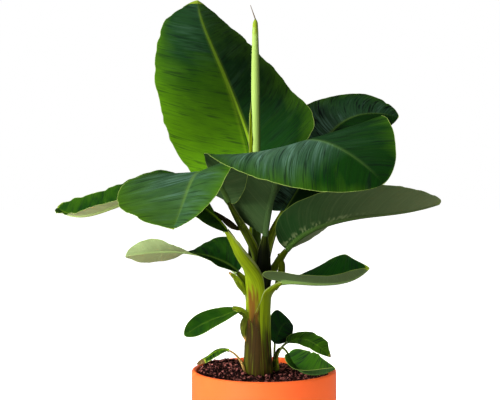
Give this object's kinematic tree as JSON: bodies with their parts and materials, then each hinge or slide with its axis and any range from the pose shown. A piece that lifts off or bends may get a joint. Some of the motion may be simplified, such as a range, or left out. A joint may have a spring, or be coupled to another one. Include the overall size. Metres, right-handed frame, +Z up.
{
  "type": "potted dwarf cavendish banana plant",
  "caption": "Young dwarf cavendish banana plant with broad arching leaves and a rolled new leaf, in a plain round clay pot.",
  "frame": {"origin": "middle of the pot's flat underside, on the surface it stands on", "axes": "+Z up along the pot's axis, -Y towards the plant's front, +X to the right seen from the front"},
  "size_m": [0.666, 0.5377, 0.8577],
  "materials": {
    "pot_clay": "matt coloured glaze",
    "soil": "dark crumbly potting soil",
    "stem": "fleshy leaf sheaths, streaked brown and green",
    "stalk": "smooth yellow green leaf stalk",
    "leaf": "satin leaf, paler and matt beneath",
    "young_leaf": "satin pale green",
    "withered_leaf": "dry, matt"
  },
  "bodies": {
    "root": {"pot": "pot_clay", "soil": "soil", "pseudostem": "stem", "rolled_leaf": "young_leaf", "pup_stem": "stem", "stalk_back": "stalk", "stalk_front": "stalk", "stalk_front_left": "stalk", "stalk_back_right": "stalk", "stalk_right": "stalk", "stalk_left": "stalk", "stalk_low_right": "stalk", "stalk_low_left": "stalk", "stalk_small_left": "stalk", "stalk_pup_right": "stalk", "stalk_pup_front": "stalk", "stalk_pup_back": "stalk", "stalk_withered": "stalk", "leaf_back": "leaf", "leaf_front": "leaf", "leaf_front_left": "leaf", "leaf_back_right": "leaf", "leaf_right": "leaf", "leaf_left": "leaf", "leaf_low_right": "leaf", "leaf_low_left": "leaf", "leaf_small_left": "leaf", "leaf_pup_right": "leaf", "leaf_pup_front": "leaf", "leaf_pup_back": "leaf", "leaf_withered": "withered_leaf"}
  },
  "joints": []
}
